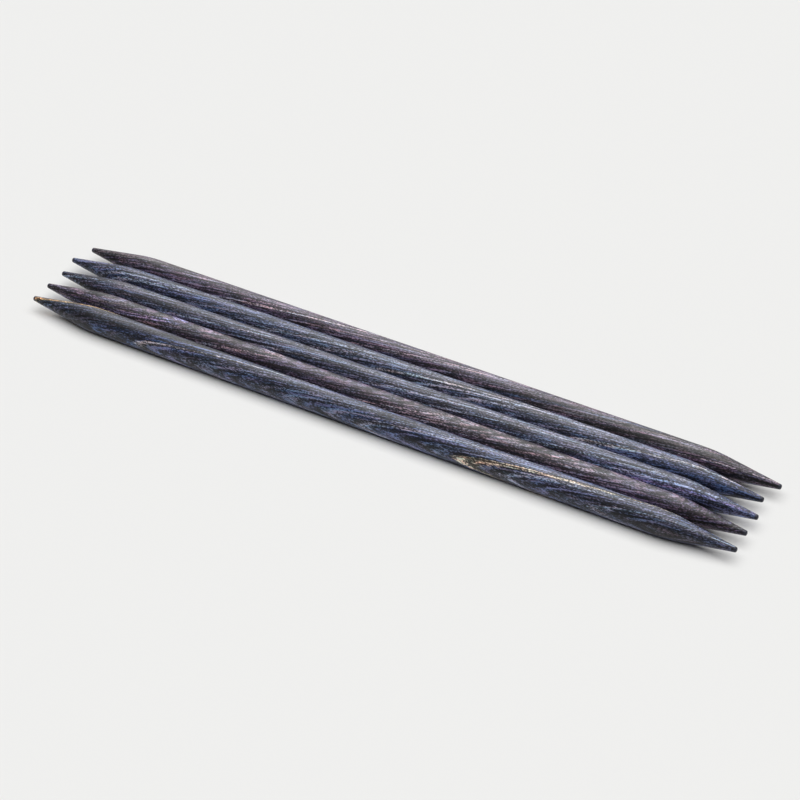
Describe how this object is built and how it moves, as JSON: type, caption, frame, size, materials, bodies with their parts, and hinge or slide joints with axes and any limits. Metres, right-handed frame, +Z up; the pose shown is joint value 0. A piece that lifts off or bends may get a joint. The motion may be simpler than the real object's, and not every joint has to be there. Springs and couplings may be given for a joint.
{
  "type": "double pointed knitting needle set",
  "caption": "Row of loose, straight knitting needles in laminated dyed wood, each tapered to a small round point at both ends.",
  "frame": {"origin": "on the surface that the needles lie on, under the middle of the row's bounding box", "axes": "+X along the needles, +Y from the front needle (needle_1) to the back one (needle_5), +Z up"},
  "size_m": [0.202, 0.0326, 0.0065],
  "materials": {
    "needle_1_wood": "satin lacquer over dyed, laminated birch veneers",
    "needle_2_wood": "satin lacquer over dyed, laminated birch veneers",
    "needle_3_wood": "satin lacquer over dyed, laminated birch veneers",
    "needle_4_wood": "satin lacquer over dyed, laminated birch veneers",
    "needle_5_wood": "satin lacquer over dyed, laminated birch veneers"
  },
  "bodies": {
    "needle_1": {"needle_1": "needle_1_wood"},
    "needle_2": {"needle_2": "needle_2_wood"},
    "needle_3": {"needle_3": "needle_3_wood"},
    "needle_4": {"needle_4": "needle_4_wood"},
    "needle_5": {"needle_5": "needle_5_wood"}
  },
  "joints": [
    {"name": "needle_1_lift", "type": "slide", "parent": "needle_3", "child": "needle_1", "axis": [0, 0, 1], "range_m": [0, 0.05]},
    {"name": "needle_2_lift", "type": "slide", "parent": "needle_3", "child": "needle_2", "axis": [0, 0, 1], "range_m": [0, 0.05]},
    {"name": "needle_4_lift", "type": "slide", "parent": "needle_3", "child": "needle_4", "axis": [0, 0, 1], "range_m": [0, 0.05]},
    {"name": "needle_5_lift", "type": "slide", "parent": "needle_3", "child": "needle_5", "axis": [0, 0, 1], "range_m": [0, 0.05]}
  ]
}
